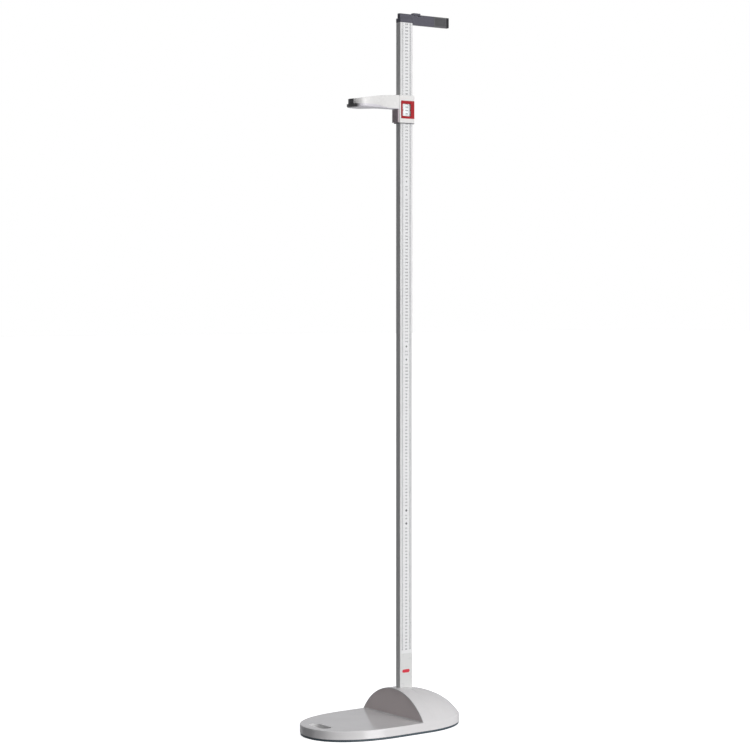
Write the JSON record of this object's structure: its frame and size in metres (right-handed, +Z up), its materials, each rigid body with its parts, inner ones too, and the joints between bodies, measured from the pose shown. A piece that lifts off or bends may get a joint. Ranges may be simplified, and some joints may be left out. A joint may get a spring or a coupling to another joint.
{
  "type": "height measuring rod",
  "caption": "Free-standing height-measuring rod: domed floor base with hand slot, plug-together scale rod, sliding head piece with reading window, and wall spacer.",
  "frame": {"origin": "on the floor, under the middle of the base's bounding box", "axes": "+Z up along the rod, -Y towards the side the person stands on, +Y towards the wall, +X the side that the scale faces"},
  "size_m": [0.3, 0.544, 2.1695],
  "materials": {
    "shell_white": "fine moulded grain, satin",
    "heel_white": "fine moulded grain, satin",
    "liner_white": "smooth satin",
    "plate_grey": "fine moulded grain, dark blue-grey",
    "foot_rubber": "matt",
    "screw_steel": "zinc plated",
    "socket_grey": "matt",
    "rod_coat": "satin powder coat over an aluminium tube",
    "scale_print": "printed film, satin",
    "plug_dark": "matt",
    "carriage_grey": "matt",
    "housing_white": "satin gloss",
    "frame_red": "satin gloss",
    "lens_clear": "clear acrylic",
    "tongue_grey": "satin",
    "trim_dark": "satin",
    "lever_grey": "satin",
    "shoe_rubber": "matt",
    "spring_steel": "spring steel",
    "spacer_dark": "fine moulded grain, satin",
    "spacer_grey": "ribbed, satin",
    "pad_rubber": "matt"
  },
  "bodies": {
    "base": {"base_shell": "shell_white", "heel_panel": "heel_white", "grip_liner": "liner_white", "base_plate": "plate_grey", "rubber_feet": "foot_rubber", "base_screws": "screw_steel", "socket_screws": "screw_steel", "rod_socket": "socket_grey"},
    "rod_1": {"rod_section_1": "rod_coat", "scale_strip_1": "scale_print", "rod_foot": "plug_dark", "rod_connector_1": "plug_dark", "connector_screws_1": "screw_steel"},
    "rod_2": {"rod_section_2": "rod_coat", "scale_strip_2": "scale_print", "rod_connector_2": "plug_dark", "connector_screws_2": "screw_steel"},
    "rod_3": {"rod_section_3": "rod_coat", "scale_strip_3": "scale_print", "rod_connector_3": "plug_dark", "connector_screws_3": "screw_steel"},
    "rod_4": {"rod_section_4": "rod_coat", "scale_strip_4": "scale_print"},
    "head_slide": {"slide_carriage": "carriage_grey", "slide_housing": "housing_white", "housing_screws": "screw_steel", "window_frame": "frame_red", "window_lens": "lens_clear", "tongue_upper": "housing_white", "tongue_lower": "tongue_grey", "tongue_tip": "trim_dark", "tongue_screws": "screw_steel", "brake_shoe": "shoe_rubber", "brake_spring": "spring_steel"},
    "brake": {"brake_lever": "lever_grey"},
    "wall_spacer": {"spacer_plug": "plug_dark", "spacer_bar": "spacer_dark", "spacer_screws": "screw_steel"},
    "spacer_slide": {"spacer_extension": "spacer_grey", "wall_pad": "pad_rubber"},
    "tab": {"spacer_tab": "spacer_dark"}
  },
  "joints": [
    {"name": "rod_1_lift", "type": "slide", "parent": "base", "child": "rod_1", "axis": [0, 0, 1], "range_m": [0, 0.095]},
    {"name": "rod_2_lift", "type": "slide", "parent": "rod_1", "child": "rod_2", "axis": [0, 0, 1], "range_m": [0, 0.055]},
    {"name": "rod_3_lift", "type": "slide", "parent": "rod_2", "child": "rod_3", "axis": [0, 0, 1], "range_m": [0, 0.055]},
    {"name": "rod_4_lift", "type": "slide", "parent": "rod_3", "child": "rod_4", "axis": [0, 0, 1], "range_m": [0, 0.055]},
    {"name": "head_travel", "type": "slide", "parent": "rod_4", "child": "head_slide", "axis": [0, 0, 1], "range_m": [-1.64, 0.21]},
    {"name": "brake_press", "type": "slide", "parent": "head_slide", "child": "brake", "axis": [0, 1, 0], "range_m": [0, 0.0015], "stiffness_N_per_m": 400, "springref_m": -0.002},
    {"name": "spacer_lift", "type": "slide", "parent": "rod_4", "child": "wall_spacer", "axis": [0, 0, 1], "range_m": [0, 0.04]},
    {"name": "spacer_extend", "type": "slide", "parent": "wall_spacer", "child": "spacer_slide", "axis": [0, 1, 0], "range_m": [0, 0.05]},
    {"name": "tab_press", "type": "slide", "parent": "wall_spacer", "child": "tab", "axis": [0, 0, -1], "range_m": [0, 0.002], "stiffness_N_per_m": 400, "springref_m": -0.001}
  ]
}
